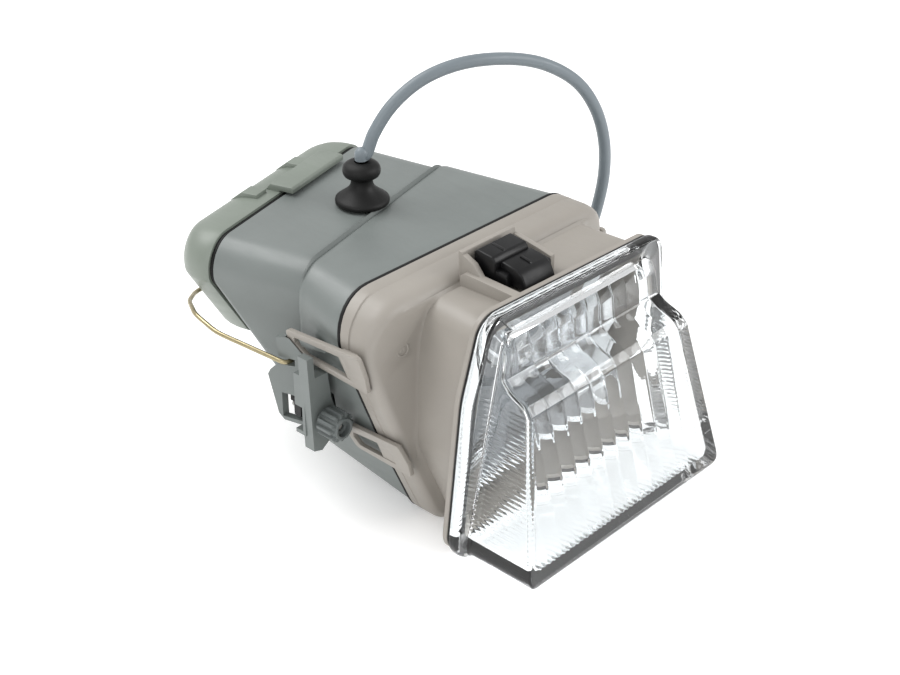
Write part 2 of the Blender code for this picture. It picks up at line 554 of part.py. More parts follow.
clip_pts = [(RC[0] - 14, RC[1] + 12.6, RC[2] + 13), (RC[0] - 8, RC[1] + 12.8, RC[2] + 4), (RC[0] - 7, RC[1] + 12.8, RC[2] - 10), (RC[0], RC[1] + 12.8, RC[2] - 15), (RC[0] + 7, RC[1] + 12.8, RC[2] - 10), (RC[0] + 8, RC[1] + 12.8, RC[2] + 4), (RC[0] + 14, RC[1] + 12.6, RC[2] + 13)]
bulb_clip = wire("bulb_spring_clip", rounded(clip_pts, 4, 2), 0.8, STEEL, 1, (RC[0], RC[1] + 12.6, RC[2] + 13))

# ---- wiring inside ----
lead_path = smooth_path([(RC[0], RC[1] + 24.5, RC[2] + 1.5), (RC[0] - 1, RC[1] + 29, RC[2] + 4), (0, 57.5, 22), (GX - 2.2, GY - 0.8, 30), (GX - 2.2, GY, 39)], 4)
bulb_lead = wire("bulb_lead", lead_path, 1.3, BLACK, 1)
bulb_terminal = box("bulb_terminal", (RC[0] - 2.4, RC[2] - 1.2, RC[1] + 17.6), (RC[0] + 2.4, RC[2] + 3.2, RC[1] + 21.1), STEEL, lambda x, z, y: (x, y, z))
earth_path = smooth_path([(GX + 2.4, GY, 39), (GX + 2.6, GY - 1, 30), (20, 50, 16), (27, 44, 4)], 4)
earth_lead = wire("earth_lead", earth_path, 1.3, BLACK, 1)

# ---- grommet and cable ----
gp = [(-9, 3.55), (-9, 9.4), (-5.2, 9.4), (-4.6, 7.9), (0.5, 7.9), (0.9, 13.4), (3.4, 13.2), (5.6, 10.2), (8.5, 6.6), (12.5, 5.4), (14.6, 6.0), (15.5, 8.6), (18.4, 9.4), (21.2, 8.6), (22.4, 5.6), (22.4, 3.55)]
cable_grommet = turned("cable_grommet", (GX, GY, TOP + 1.4), Z, X, Y, gp, 20, RUBBER, closed=True)

# the cable rises from the grommet, arches over the body, comes down behind it and lies along the ground
EXIT = (GX, GY, TOP + 24.5)
route = [
    EXIT, (GX + 0.1, GY, TOP + 28), (3.4, 59.3, 76.6), (8.2, 57.6, 87.0), (17.5, 54.2, 99.5), (31.5, 48.7, 109.5), (50, 41.6, 114.3), (73.5, 33.2, 112.8), (95, 26.0, 106),
    (114.2, 19.5, 92.5), (125.6, 15.6, 75.5), (131.2, 13.6, 57), (132.6, 13.6, 38), (131.0, 15.4, 20), (128.0, 19.2, 0), (124.6, 25.0, -20), (121.0, 34.0, -40), (119.6, 48.0, -56),
    (116.6, 66.0, -62.4), (109, 85, -62.7), (96, 100, -62.7), (80, 110, -62.7), (62, 117, -62.7),
]
cable_pts = smooth_path(route, 3)
cable = wire("cable", cable_pts, CABLE_R, CABLE, 2)
end = Vector(cable_pts[-1])
run = (end - Vector(cable_pts[-2])).normalized()
run.z = 0
run.normalize()
side_v = Vector((-run.y, run.x, 0))


def along(u, v, w):
    """In the connector: u forwards, v sideways, w up."""
    p = end + run * u + side_v * v
    return (p.x, p.y, end.z + w)


def connector_ring(u, hw, hh, r=1.2):
    pts = outline([(-hw, hh), (hw, hh), (hw, -hh), (-hw, -hh)], [r] * 4, 2, 1)
    return [along(u, p.x, p.y) for p in pts]


boot = turned("connector_boot", along(0.4, 0, 0), run, side_v, Z, [(0, 2.4), (0, 3.2), (9, 3.2), (9.6, 2.4)], 14, RUBBER)
shell_rings = [connector_ring(10.4, 4.0, 2.9), connector_ring(11.0, 6.6, 3.25), connector_ring(34, 6.6, 3.25), connector_ring(34, 5.4, 2.2, 0.6), connector_ring(20, 5.4, 2.2, 0.6), connector_ring(20, 1, 0.5, 0.2)]
connector_shell = tube("connector_shell", shell_rings, BLACK)
pins = []
for tag, v in (("live", -2.7), ("earth", 2.7)):
    pins.append(box("pin_" + tag, (20.35, v - 1.6, -0.5), (31, v + 1.6, 0.5), STEEL, along))

# ---- mounting clip held between the rails of the holder ----
clip_body = extruded("mounting_clip", [(-25.9, 48.6), (-25.9, 60.4), (-29.4, 62.2), (-37.8, 59.6), (-39.2, 54.4), (-52.8, 50.6), (-55.0, 47.9), (-46, 47.9)], -12.0, 14.8, BLACK, lambda u, v, w: (w, u, v))
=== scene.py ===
# Looks of a fog lamp: a fluted glass lens on a plastic bezel and housing, with its cover, bail, adjuster and cable.
# Drawing lengths are in drawing units of U metres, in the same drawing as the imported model.
import math

import bmesh
import bpy
import numpy as np
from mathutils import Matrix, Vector


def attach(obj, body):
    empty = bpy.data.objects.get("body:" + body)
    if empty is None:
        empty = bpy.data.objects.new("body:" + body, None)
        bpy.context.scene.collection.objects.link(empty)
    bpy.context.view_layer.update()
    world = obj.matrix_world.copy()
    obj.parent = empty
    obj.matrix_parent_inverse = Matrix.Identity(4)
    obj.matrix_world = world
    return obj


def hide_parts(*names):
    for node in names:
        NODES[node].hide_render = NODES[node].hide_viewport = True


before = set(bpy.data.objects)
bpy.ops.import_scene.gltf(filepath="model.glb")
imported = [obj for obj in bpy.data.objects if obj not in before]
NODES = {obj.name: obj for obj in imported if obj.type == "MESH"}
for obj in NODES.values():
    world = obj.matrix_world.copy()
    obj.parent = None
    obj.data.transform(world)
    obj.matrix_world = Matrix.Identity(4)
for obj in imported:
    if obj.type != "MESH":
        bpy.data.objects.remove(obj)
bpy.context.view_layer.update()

U = 0.00086
ORIGIN = (0.91, 15.8, -66.0)
GAP, WALL, GLASS, LEAN, TOP = 0.35, 3.0, 3.4, 0.2126, 50.0
AXIS = math.radians(14.6)
T = Vector((math.cos(AXIS), math.sin(AXIS), 0))
N = Vector((-math.sin(AXIS), math.cos(AXIS), 0))
X, Y, Z = Vector((1, 0, 0)), Vector((0, 1, 0)), Vector((0, 0, 1))


def place(p):
    return Vector(((p[0] - ORIGIN[0]) * U, (p[1] - ORIGIN[1]) * U, (p[2] - ORIGIN[2]) * U))


def rear(xp, s, z):
    v = T * xp + N * s
    return (v.x, v.y, z)


def back(u, v, w):
    return rear(u, w, v)


def flat(u, v, w):
    return (u, w, v)


def lean(u, v, w):
    return (u, LEAN * (v - TOP) + w, v)


def deep(u, v, w):
    k = min(max((v - 15) / 30, 0), 1)
    return (u, LEAN * (v - TOP) + w * (1 + 0.42 * k * k), v)


# ---------------------------------------------------------------- camera and lights
target = place((0, 0, 0))
away = Vector((-0.6288, -0.5904, 0.5060)).normalized()
cam_data = bpy.data.cameras.new("camera")
cam_data.sensor_width = 36
cam_data.lens = 67.2
cam_data.clip_start = 0.02
cam = bpy.data.objects.new("camera", cam_data)
cam.location = target + away * (810 * U)
cam.rotation_euler = (-away).to_track_quat("-Z", "Y").to_euler()
bpy.context.scene.collection.objects.link(cam)
bpy.context.scene.camera = cam
bpy.context.scene.view_settings.view_transform = "Standard"
bpy.context.scene.view_settings.look = "None"


def area(name, at, aim, size, power, color=(1, 1, 1)):
    d = bpy.data.lights.new(name, "AREA")
    d.shape, d.size, d.size_y, d.energy, d.color = "RECTANGLE", size[0], size[1], power, color
    o = bpy.data.objects.new(name, d)
    o.location = at
    o.rotation_euler = (Vector(aim) - Vector(at)).to_track_quat("-Z", "Y").to_euler()
    bpy.context.scene.collection.objects.link(o)
    return o


area("key_light", (-0.25, 0.75, 1.25), (0, 0, 0.05), (1.0, 0.9), 14.0)
area("front_light", (0.75, -1.05, 0.75), (0, -0.02, 0.04), (0.8, 0.8), 9.0)
area("side_light", (-1.15, -0.35, 0.65), (0, 0, 0.05), (0.7, 0.7), 3.0)
world = bpy.data.worlds.new("studio")
world.use_nodes = True
world.node_tree.nodes["Background"].inputs[0].default_value = (1.0, 1.0, 1.0, 1)
world.node_tree.nodes["Background"].inputs[1].default_value = 0.78
bpy.context.scene.world = world


# ---------------------------------------------------------------- materials
def new_material(name, color, rough, metal=0.0):
    m = bpy.data.materials.new(name)
    m.use_nodes = True
    nt = m.node_tree
    b = nt.nodes["Principled BSDF"]
    b.inputs["Base Color"].default_value = (*color, 1)
    b.inputs["Roughness"].default_value = rough
    b.inputs["Metallic"].default_value = metal
    return m, nt, b


def noise(nt, scale, detail=3.0, rough=0.5, stretch=None):
    co = nt.nodes.new("ShaderNodeTexCoord")
    tex = nt.nodes.new("ShaderNodeTexNoise")
    tex.inputs["Scale"].default_value = scale
    tex.inputs["Detail"].default_value = detail
    tex.inputs["Roughness"].default_value = rough
    if stretch:
        mp = nt.nodes.new("ShaderNodeMapping")
        mp.inputs["Scale"].default_value = stretch
        nt.links.new(co.outputs["Object"], mp.inputs["Vector"])
        nt.links.new(mp.outputs["Vector"], tex.inputs["Vector"])
    else:
        nt.links.new(co.outputs["Object"], tex.inputs["Vector"])
    return tex


def spread(nt, tex, lo, hi):
    r = nt.nodes.new("ShaderNodeMapRange")
    r.inputs["From Min"].default_value, r.inputs["From Max"].default_value = 0.3, 0.7
    r.inputs["To Min"].default_value, r.inputs["To Max"].default_value = lo, hi
    nt.links.new(tex.outputs["Fac"], r.inputs["Value"])
    return r.outputs["Result"]


def tinted(nt, b, color, fac_socket, dark, light):
    mix = nt.nodes.new("ShaderNodeMix")
    mix.data_type = "RGBA"
    mix.inputs["A"].default_value = (*[c * dark for c in color], 1)
    mix.inputs["B"].default_value = (*[min(c * light, 1) for c in color], 1)
    nt.links.new(fac_socket, mix.inputs["Factor"])
    nt.links.new(mix.outputs["Result"], b.inputs["Base Color"])
    return mix


def bumped(nt, b, tex, strength, depth):
    bp = nt.nodes.new("ShaderNodeBump")
    bp.inputs["Strength"].default_value = strength
    bp.inputs["Distance"].default_value = depth
    nt.links.new(tex.outputs["Fac"], bp.inputs["Height"])
    nt.links.new(bp.outputs["Normal"], b.inputs["Normal"])
    return bp


def plastic(name, color, rough, grain=0.12, mottle=0.05, grain_size=1700):
    """Moulded plastic: fine grain, faint clouding and a few handling marks in the gloss."""
    m, nt, b = new_material(name, color, rough)
    big = noise(nt, 38, 5, 0.6)
    tinted(nt, b, color, spread(nt, big, 0, 1), 1 - mottle, 1 + mottle)
    marks = noise(nt, 150, 6, 0.7, (1, 0.25, 1))
    nt.links.new(spread(nt, marks, rough - 0.07, rough + 0.09), b.inputs["Roughness"])
    bumped(nt, b, noise(nt, grain_size, 2), grain, 0.00006)
    return m


def metal(name, color, rough, stretch=(1, 1, 1), scale=900, depth=0.00003):
    m, nt, b = new_material(name, color, rough, 1.0)
    tex = noise(nt, scale, 4, 0.6, stretch)
    tinted(nt, b, color, spread(nt, tex, 0, 1), 0.86, 1.08)
    nt.links.new(spread(nt, noise(nt, 120, 4), rough * 0.75, rough * 1.35), b.inputs["Roughness"])
    bumped(nt, b, tex, 0.25, depth)
    return m


HOUSING = plastic("housing_plastic", (0.155, 0.172, 0.166), 0.40)
COVER = plastic("cover_plastic", (0.178, 0.203, 0.174), 0.40)
BEZEL = plastic("bezel_plastic", (0.287, 0.266, 0.238), 0.46, 0.10, 0.035)
KNOB = plastic("knob_plastic", (0.108, 0.122, 0.120), 0.45)
BLACK = plastic("black_plastic", (0.0045, 0.0045, 0.005), 0.34, 0.2, 0.2)
RUBBER = plastic("black_rubber", (0.004, 0.004, 0.004), 0.50, 0.2, 0.25, 1200)
SHEATH = plastic("cable_sheath", (0.158, 0.186, 0.205), 0.40, 0.06, 0.06, 900)
LEAD = plastic("lead_insulation", (0.02, 0.02, 0.02), 0.45)
WIRE_M = metal("plated_wire", (0.36, 0.31, 0.19), 0.33, (1, 1, 1), 700)
ZINC = metal("zinc_steel", (0.62, 0.61, 0.58), 0.32)
BRASS = metal("contact_brass", (0.72, 0.55, 0.28), 0.28)
CHROME, _nt, _b = new_material("reflector_chrome", (0.60, 0.61, 0.62), 0.09, 1.0)
_n = noise(_nt, 60, 4)
_nt.links.new(spread(_nt, _n, 0.05, 0.16), _b.inputs["Roughness"])
bumped(_nt, _b, noise(_nt, 220, 2), 0.08, 0.00005)
GLASS_M, _nt, _b = new_material("lens_glass", (0.955, 0.975, 0.982), 0.0)
_b.inputs["Transmission Weight"].default_value = 1.0
_b.inputs["IOR"].default_value = 1.5
_nt.links.new(spread(_nt, noise(_nt, 90, 3), 0.0, 0.025), _b.inputs["Roughness"])
bumped(_nt, _b, noise(_nt, 70, 1), 0.02, 0.0001)
for _m in (BLACK, RUBBER):
    _m.node_tree.nodes["Principled BSDF"].inputs["Specular IOR Level"].default_value = 0.28
FLOOR_M, _nt, _b = new_material("floor_card", (0.95, 0.95, 0.95), 0.9)
_b.inputs["Emission Color"].default_value = (1, 1, 1, 1)
_b.inputs["Emission Strength"].default_value = 0.22
bumped(_nt, _b, noise(_nt, 300, 3), 0.02, 0.0001)


# ---------------------------------------------------------------- mesh tools
def smooth(ob, deg=32):
    ob.data.shade_smooth()
    ob.data.set_sharp_from_angle(angle=math.radians(deg))
    return ob


def solid(name, verts, faces, mat, deg=32):
    me = bpy.data.meshes.new(name)
    bm = bmesh.new()
    vs = [bm.verts.new(place(v)) for v in verts]
    for f in faces:
        bm.faces.new([vs[i] for i in f])
    bmesh.ops.recalc_face_normals(bm, faces=bm.faces)
    if bm.calc_volume(signed=True) < 0:
        bmesh.ops.reverse_faces(bm, faces=bm.faces)
    bm.to_mesh(me)
    bm.free()
    ob = bpy.data.objects.new(name, me)
    bpy.context.scene.collection.objects.link(ob)
    if mat:
        me.materials.append(mat)
    return smooth(ob, deg)


def outline(corners, radii, nc=10, ne=6):
    n, pts = len(corners), []
    cs = [Vector(c) for c in corners]
    half = [(cs[i - 1] - cs[i]).angle(cs[(i + 1) % n] - cs[i]) / 2 for i in range(n)]
    d = [max(radii[i], 0.05) / math.tan(half[i]) for i in range(n)]
    for i in range(n):
        j = (i + 1) % n
        k = (d[i] + d[j]) / ((cs[j] - cs[i]).length * 0.96)
        if k > 1:
            d[i], d[j] = d[i] / k, d[j] / k
    arcs = []
    for i in range(n):
        c = cs[i]
        a, b = (cs[i - 1] - c).normalized(), (cs[(i + 1) % n] - c).normalized()
        r = d[i] * math.tan(half[i])
        centre = c + (a + b).normalized() * (r / math.sin(half[i]))
        s, e = c + a * d[i] - centre, c + b * d[i] - centre
        turn = -s.angle_signed(e)
        arcs.append([])
        for k in range(nc + 1):
            t = turn * k / nc
            arcs[-1].append(centre + Vector((s.x * math.cos(t) - s.y * math.sin(t), s.x * math.sin(t) + s.y * math.cos(t))))
    for i in range(n):
        pts += arcs[i]
        a, b = arcs[i][-1], arcs[(i + 1) % n][0]
        pts += [a.lerp(b, k / ne) for k in range(1, ne)]
    return pts


def band(n, i, j):
    return [(i * n + k, i * n + (k + 1) % n, j * n + (k + 1) % n, j * n + k) for k in range(n)]


def tube(name, rings, mat, closed=False, caps=True, deg=32):
    n, m = len(rings[0]), len(rings)
    verts = [p for r in rings for p in r]
    faces = []
    for i in range(m - 1):
        faces += band(n, i, i + 1)
    if closed:
        faces += band(n, m - 1, 0)
    elif caps:
        faces += [tuple(range(n)), tuple((m - 1) * n + k for k in range(n))]
    return solid(name, verts, faces, mat, deg)


def extruded(name, pts, lo, hi, mat, at):
    return tube(name, [[at(u, v, lo) for u, v in pts], [at(u, v, hi) for u, v in pts]], mat)


def framed(name, outer, inner, lo, hi, mat, at):
    rings = [[at(u, v, w) for u, v in pts] for pts, w in ((outer, lo), (outer, hi), (inner, hi), (inner, lo))]
    return tube(name, rings, mat, closed=True)


def box(name, lo, hi, mat, at=lambda x, y, z: (x, y, z)):
    pts = [(lo[0], lo[1]), (hi[0], lo[1]), (hi[0], hi[1]), (lo[0], hi[1])]
    return tube(name, [[at(x, y, lo[2]) for x, y in pts], [at(x, y, hi[2]) for x, y in pts]], mat)


def ring_at(centre, r, n, a, b):
    c = Vector(centre)
    return [tuple(c + a * (r * math.cos(2 * math.pi * k / n)) + b * (r * math.sin(2 * math.pi * k / n))) for k in range(n)]


def turned(name, centre, axis, a, b, profile, n, mat, closed=False, deg=32):
    c = Vector(centre)
    return tube(name, [ring_at(c + axis * h, r, n, a, b) for h, r in profile], mat, closed=closed, deg=deg)


def applied(ob, deg=32):
    """Bake the modifiers into the mesh."""
    bpy.context.view_layer.update()
    dg = bpy.context.evaluated_depsgraph_get()
    me = bpy.data.meshes.new_from_object(ob.evaluated_get(dg))
    ob.modifiers.clear()
    ob.data = me
    return smooth(ob, deg)


def faceted(ob):
    bm = bmesh.new()
    bm.from_mesh(ob.data)
    bmesh.ops.triangulate(bm, faces=bm.faces)
    bm.to_mesh(ob.data)
    bm.free()
    return ob


def combine(ob, others, op="UNION"):
    for o in others:
        m = ob.modifiers.new(o.name, "BOOLEAN")
        m.operation, m.object, m.solver = op, o, "EXACT"
    applied(ob)
    for o in others:
        bpy.data.objects.remove(o, do_unlink=True)
    return ob


def eased(ob, width, segments=2, deg=40):
    """Round the sharp edges."""
    m = ob.modifiers.new("bevel", "BEVEL")
    m.width, m.segments, m.limit_method, m.angle_limit = width * U, segments, "ANGLE", math.radians(deg)
    m.use_clamp_overlap = True
    m.harden_normals = False
    return applied(ob)


def inset(c, d):
    n, out = len(c), []
    cs = [Vector(p) for p in c]
    for i in range(n):
        u, v = (cs[i] - cs[i - 1]).normalized(), (cs[(i + 1) % n] - cs[i]).normalized()
        nu, nv = Vector((u.y, -u.x)), Vector((v.y, -v.x))
        out.append(tuple(cs[i] + (nu + nv) * (d / (1 + nu.dot(nv)))))
    return out


def shrunk(c, f, d=0.0, centre=(13, 25)):
    w = max(abs(p[0] - centre[0]) for p in c)
    h = max(abs(p[1] - centre[1]) for p in c)
    return [(centre[0] + (x - centre[0]) * (f - d / w), centre[1] + (z - centre[1]) * (f - d / h)) for x, z in c]


def r_in(radii, d):
    return [max(r - d, 1.5) for r in radii]


def between(a, b, k):
    return [[tuple(Vector(p).lerp(Vector(q), i / k)) for p, q in zip(a, b)] for i in range(k)]


def ring(corners, radii, at, w, nc=10, ne=6):
    return [at(p.x, p.y, w) for p in outline(corners, radii, nc, ne)]


def smooth_path(pts, per):
    ps = [Vector(p) for p in pts]
    ps = [ps[0] * 2 - ps[1]] + ps + [ps[-1] * 2 - ps[-2]]
    out = []
    for i in range(1, len(ps) - 2):
        p0, p1, p2, p3 = ps[i - 1 : i + 3]
        t0 = 0.0
        t1 = t0 + (p1 - p0).length ** 0.5
        t2 = t1 + (p2 - p1).length ** 0.5
        t3 = t2 + (p3 - p2).length ** 0.5
        for k in range(per):
            t = t1 + (t2 - t1) * k / per
            a1 = p0 * ((t1 - t) / (t1 - t0)) + p1 * ((t - t0) / (t1 - t0))
            a2 = p1 * ((t2 - t) / (t2 - t1)) + p2 * ((t - t1) / (t2 - t1))
            a3 = p2 * ((t3 - t) / (t3 - t2)) + p3 * ((t - t2) / (t3 - t2))
            b1 = a1 * ((t2 - t) / (t2 - t0)) + a2 * ((t - t0) / (t2 - t0))
            b2 = a2 * ((t3 - t) / (t3 - t1)) + a3 * ((t - t1) / (t3 - t1))
            out.append(b1 * ((t2 - t) / (t2 - t1)) + b2 * ((t - t1) / (t2 - t1)))
    out.append(ps[-2])
    return out


def rounded(pts, r, k=4):
    ps = [Vector(p) for p in pts]
    out = [ps[0]]
    for a, b, c in zip(ps, ps[1:], ps[2:]):
        u, v = (a - b), (c - b)
        d = min(r, u.length * 0.48, v.length * 0.48)
        p, q = b + u.normalized() * d, b + v.normalized() * d
        for i in range(k + 1):
            t = i / k
            out.append(p * (1 - t) ** 2 + b * 2 * t * (1 - t) + q * t * t)
    out.append(ps[-1])
    return out


def wire(name, pts, r, mat, sides=6):
    cu = bpy.data.curves.new(name, "CURVE")
    cu.dimensions = "3D"
    cu.bevel_depth = r * U
    cu.bevel_resolution = sides
    cu.use_fill_caps = True
    sp = cu.splines.new("POLY")
    sp.points.add(len(pts) - 1)
    for q, p in zip(sp.points, pts):
        v = place(p)
        q.co = (v.x, v.y, v.z, 1)
    ob = bpy.data.objects.new(name, cu)
    cu.materials.append(mat)
    bpy.context.scene.collection.objects.link(ob)
    return ob


def done(ob, body, slot, *nodes):
    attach(ob, body)
    if nodes:
        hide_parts(*nodes)
    return ob


# ---------------------------------------------------------------- cable
GX, GY = 1.5, 60.0
CABLE_R = 3.2
route = [
    (GX, GY, TOP + 24.5), (GX + 0.1, GY, TOP + 28), (3.4, 59.3, 76.6), (8.2, 57.6, 87.0), (17.5, 54.2, 99.5), (31.5, 48.7, 109.5), (50, 41.6, 114.3), (73.5, 33.2, 112.8), (95, 26.0, 106),
    (114.2, 19.5, 92.5), (125.6, 15.6, 75.5), (131.2, 13.6, 57), (132.6, 13.6, 38), (131.0, 15.4, 20), (128.0, 19.2, 0), (124.6, 25.0, -20), (121.0, 34.0, -40), (119.6, 48.0, -56),
    (116.6, 66.0, -62.4), (109, 85, -62.7), (96, 100, -62.7), (80, 110, -62.7), (62, 117, -62.7),
]
cable_pts = smooth_path(route, 7)
cable = wire("cable_sheath", cable_pts, CABLE_R, SHEATH, 7)
done(cable, "lamp", "cable_sheath", "cable")
end = Vector(cable_pts[-1])
run = (Vector(smooth_path(route, 3)[-1]) - Vector(smooth_path(route, 3)[-2])).normalized()
run.z = 0
run.normalize()
side_v = Vector((-run.y, run.x, 0))


def along(u, v, w):
    p = end + run * u + side_v * v
    return (p.x, p.y, end.z + w)


def loop_r(u, hw, hh, r=1.2):
    return [along(u, p.x, p.y) for p in outline([(-hw, hh), (hw, hh), (hw, -hh), (-hw, -hh)], [r] * 4, 5, 2)]


boot = turned("connector_boot_ribbed", along(0.4, 0, 0), run, side_v, Z,
              [(0, 2.4), (0, 3.15), (1.2, 3.2), (1.6, 2.8), (2.6, 2.8), (3.0, 3.2), (4.2, 3.2), (4.6, 2.8), (5.6, 2.8), (6.0, 3.2), (9, 3.2), (9.5, 2.6), (9.6, 2.2)], 32, RUBBER)
done(boot, "lamp", "black_rubber", "connector_boot")
shell = tube("connector_shell_fine", [
    loop_r(10.4, 3.6, 2.6, 0.9), loop_r(10.5, 4.0, 2.9, 1.0), loop_r(11.0, 6.3, 3.1, 1.1), loop_r(11.5, 6.6, 3.25), loop_r(20, 6.6, 3.25), loop_r(20.3, 6.3, 3.0), loop_r(21.1, 6.3, 3.0), loop_r(21.4, 6.6, 3.25),
    loop_r(33.6, 6.6, 3.25), loop_r(34, 6.3, 3.0), loop_r(34, 5.4, 2.2, 0.6), loop_r(20, 5.4, 2.2, 0.6), loop_r(20, 1, 0.5, 0.2)], BLACK)
done(shell, "lamp", "black_plastic", "connector_shell")

# ---------------------------------------------------------------- floor
bpy.ops.mesh.primitive_plane_add(size=6, location=(0, 0, -0.0002))
floor = bpy.context.object
floor.name = "floor"
floor.data.materials.append(FLOOR_M)

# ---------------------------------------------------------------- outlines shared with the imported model
JOINT = [(-82, TOP + 0.5), (93, TOP + 0.5), (76.5, -30), (69, -66), (-48.5, -66), (-60.5, -30)]
JOINT_R = [22, 17, 12, 13, 13, 12]
REAR = [(-56.5, TOP + 2), (83, TOP + 2), (83, 33), (53, -10), (-27, -10), (-56.5, 33)]
REAR_R = [16, 16, 9, 10, 10, 9]
MID = [(-55.5, TOP + 1), (82.5, TOP + 1), (82.5, -22), (68, -45), (-42, -45), (-55.5, -22)]
MID_R = [16, 16, 10, 10, 10, 10]
COLLAR = [(-60.5, TOP + 1), (88.0, TOP + 1), (88.0, -24), (72, -49), (-46, -49), (-57, -12)]
COLLAR_R = [17, 17, 10, 12, 12, 10]
FLANGE = [(-45, 53.5), (77, 50.5), (85.5, -8), (95, -66), (-67, -66), (-57.5, 15)]
FLANGE_R = [13, 9, 60, 9, 11, 60]
NECK_B = [(-39, 45.5), (72, 45.5), (70, -28), (63, -59), (-43, -59), (-55.5, -20)]
NECK_BR = [11, 8, 12, 10, 10, 14]
NECK_F = [(-43, 46.5), (70.5, 46.5), (80, -8), (88.5, -60), (-58, -60), (-56, -18)]
NECK_FR = [10, 8, 20, 9, 12, 20]
OUTER = [(-63, 44), (-66.5, 43.5), (-70, 35), (-71, 24), (-76, 20), (-84, 17), (-88, 12.5), (-104.6, -62), (-103.5, -65.6), (-63, -65.6)]
INNER = [(-55, 40), (-65.5, 40), (-66.8, 33), (-67.6, 21.5), (-73.5, 16.4), (-81.5, 13.6), (-84.6, 10), (-100.6, -60), (-99.8, -62), (-55, -62)]


def lens_left(z):
    return -36.5 - 0.219 * (43 - z)


def lens_right(z):
    return 67.5 + 0.155 * (40 - z)


# ---------------------------------------------------------------- lens
def front_of(profile, z):
    """Depth of the lens's front at height z."""
    pts = sorted((q[1], q[0]) for q in profile[1:-1])
    zs, ys = [p[0] for p in pts], [p[1] for p in pts]
    return np.interp(z, zs, ys)


def softened(profile, zs, width):
    """The profile with its corners blunted over width."""
    k = np.linspace(-1, 1, 9)
    w = 1 - np.abs(k) * 0.6
    return sum(wi * front_of(profile, zs + ki * width) for wi, ki in zip(w, k)) / w.sum()


def clustered(lo, hi, step, r):
    """Stations from lo to hi with closer ones at both ends."""
    near = r * np.array([0.0, 0.012, 0.04, 0.09, 0.16, 0.25, 0.36, 0.5, 0.66, 0.82, 1.0])
    mid = np.linspace(lo + r, hi - r, max(int(round((hi - lo - 2 * r) / step)), 2) + 1)
    return np.concatenate([lo + near[:-1], mid, (hi - near[:-1])[::-1]])


NXL, NZL = 190, 178
us = clustered(0, 1, 1 / (NXL - 20), 0.016)
outer_z = clustered(-65.6, 43.5, 109.1 / (NZL - 20), 8.0)
inner_z = clustered(-58.4, 39, 97.4 / (NZL - 20), 6.0)
us = us[: len(us)]
nx, nz = len(us), len(outer_z)
inner_z = np.interp(np.linspace(0, 1, nz), np.linspace(0, 1, len(inner_z)), inner_z)


def round_off(d, r):
    d = np.clip(d, 0, r)
    return r - np.sqrt(np.maximum(r * r - (r - d) ** 2, 0))


def skin(outside, plain_low=False):
    zs = outer_z if outside else inner_z
    zz = np.repeat(zs[:, None], nx, 1)
    left = -36.5 - 0.219 * (43 - zz) + (0 if outside else GLASS + 0.4)
    right = 67.5 + 0.155 * (40 - zz) - (0 if outside else GLASS + 2.6)
    # rounded corners seen from the front
    rc = 8.0 if outside else 5.0
    nip = round_off(zz - zs[0], rc) + round_off(zs[-1] - zz, rc * 0.6)
    left, right = left + nip, right - nip
    y0 = softened(OUTER if outside else INNER, zs, 0.9)[:, None]
    if not outside:
        # fine flutes down both side walls
        depth = np.clip((14 - zs) / 6, 0, 1)[:, None]
        flute = 0.34 * (0.5 - 0.5 * np.cos(2 * math.pi * zz / 2.3)) * depth
        left = left + flute
        right = right - flute
    xx = left + (right - left) * us[None, :]
    r = 1.6 if outside else 1.0
    yy = y0 + round_off(xx - left, r) + round_off(right - xx, r)
    if outside:
        yy = yy + round_off(zz - zs[0], r)
    else:
        # broad upright flutes on the inside of the front, and fine ones along the bottom wall
        pitch = 9.6
        t = (xx + 0.055 * zz) / pitch
        f = t - np.floor(t)
        face = np.clip((xx - left) / 2.5, 0, 1) * np.clip((right - xx) / 2.5, 0, 1) * np.clip((zz - zs[0]) / 3, 0, 1)
        yy = yy + face * (0.17 * 4 * f * (1 - f) + 0.20 * f)
        low = np.clip(1 - (zz - zs[0]) / 2.5, 0, 1)
        zz = zz + (0.0 if plain_low else 0.7) * low * (0.5 - 0.5 * np.cos(2 * math.pi * xx / 3.3))
    return np.stack([xx, yy, zz], -1)


def loop_index():
    """Grid positions round the rim, clockwise from the top left."""
    top = [(nz - 1, i) for i in range(nx - 1)]
    rgt = [(j, nx - 1) for j in range(nz - 1, 0, -1)]
    bot = [(0, i) for i in range(nx - 1, 0, -1)]
    lft = [(j, 0) for j in range(nz - 1)]
    return top + rgt + bot + lft


LOOP = loop_index()
nl = len(LOOP)


def cast(outline_pts, pts, centre=(13.5, -9.0)):
    """Where the rays from the centre through the points meet a closed outline."""
    a = np.array([tuple(p) for p in outline_pts])
    b = np.roll(a, -1, 0)
    c = np.array(centre)
    out = []
    for p in pts:
        d = np.array(p) - c
        e = b - a
        den = d[0] * e[:, 1] - d[1] * e[:, 0]
        den[np.abs(den) < 1e-9] = 1e-9
        w = a - c
        t = (w[:, 0] * e[:, 1] - w[:, 1] * e[:, 0]) / den
        s = (w[:, 0] * d[1] - w[:, 1] * d[0]) / den
        ok = (t > 0) & (s >= -1e-6) & (s <= 1 + 1e-6)
        out.append(c + d * t[ok].min())
    return np.array(out)


